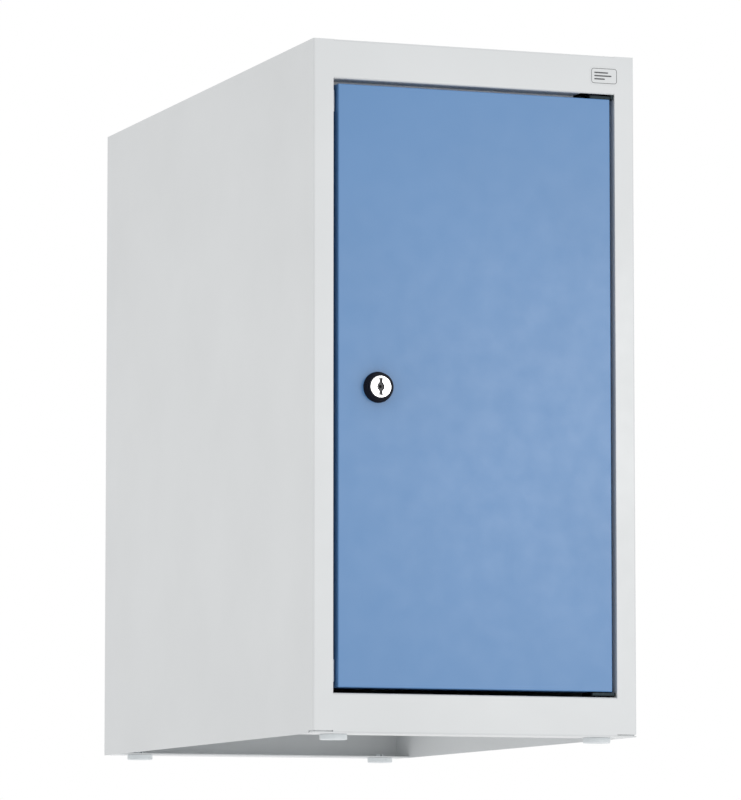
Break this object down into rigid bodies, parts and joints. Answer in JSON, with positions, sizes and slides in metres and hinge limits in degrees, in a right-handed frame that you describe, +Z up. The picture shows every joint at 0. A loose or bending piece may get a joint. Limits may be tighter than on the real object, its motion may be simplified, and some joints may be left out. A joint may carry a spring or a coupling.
{
  "type": "bedside cabinet",
  "caption": "Tall steel bedside cabinet with a flush hinged door, a cam lock, an inner shelf, and an open plinth on low glides.",
  "frame": {"origin": "middle of the object's box at floor level, between the four glides' undersides", "axes": "+Z up, -Y out of the door's front, +X to the right as seen from the front"},
  "size_m": [0.25, 0.5066, 0.504],
  "materials": {
    "grey_paint": "light grey powder coat, satin, very fine texture",
    "blue_paint": "pigeon-blue powder coat, satin, very fine texture",
    "zinc_plate": "bright zinc plate",
    "lock_face": "bright nickel-plated",
    "black_plastic": "black moulded plastic, slight sheen",
    "grey_plastic": "light grey moulded plastic",
    "dark_steel": "blackened steel",
    "label_foil": "thin printed foil"
  },
  "bodies": {
    "cabinet": {"side_panel_left": "grey_paint", "side_panel_right": "grey_paint", "top_panel": "grey_paint", "bottom_front_rail": "grey_paint", "rear_panel": "grey_paint", "floor_panel": "grey_paint", "shelf": "grey_paint", "label": "label_foil", "shelf_clip_front_left": "zinc_plate", "shelf_clip_front_right": "zinc_plate", "shelf_clip_rear_left": "zinc_plate", "shelf_clip_rear_right": "zinc_plate", "foot_glide_front_left": "grey_plastic", "foot_glide_front_right": "grey_plastic", "foot_glide_rear_left": "grey_plastic", "foot_glide_rear_right": "grey_plastic", "hinge_bracket_upper": "dark_steel", "hinge_bracket_lower": "dark_steel", "hinge_bush_upper": "black_plastic", "hinge_bush_lower": "black_plastic", "door_buffer_upper": "grey_plastic", "door_buffer_lower": "grey_plastic"},
    "door": {"door_pan": "blue_paint", "door_stiffener": "blue_paint", "hinge_pin_upper": "dark_steel", "hinge_pin_lower": "dark_steel", "hinge_washer": "black_plastic", "lock_rosette": "black_plastic", "lock_housing": "black_plastic", "lock_nut": "zinc_plate"},
    "lock_core": {"lock_plug": "lock_face", "lock_cam": "zinc_plate", "cam_washer": "zinc_plate", "cam_screw": "zinc_plate"}
  },
  "joints": [
    {"name": "door_hinge", "type": "hinge", "parent": "cabinet", "child": "door", "pos_m": [0.0959, -0.23875, 0.254], "axis": [0, 0, 1], "range_deg": [0, 110]},
    {"name": "lock_turn", "type": "hinge", "parent": "door", "child": "lock_core", "pos_m": [-0.0757, -0.24675, 0.2525], "axis": [0, 1, 0], "range_deg": [0, 90]}
  ]
}
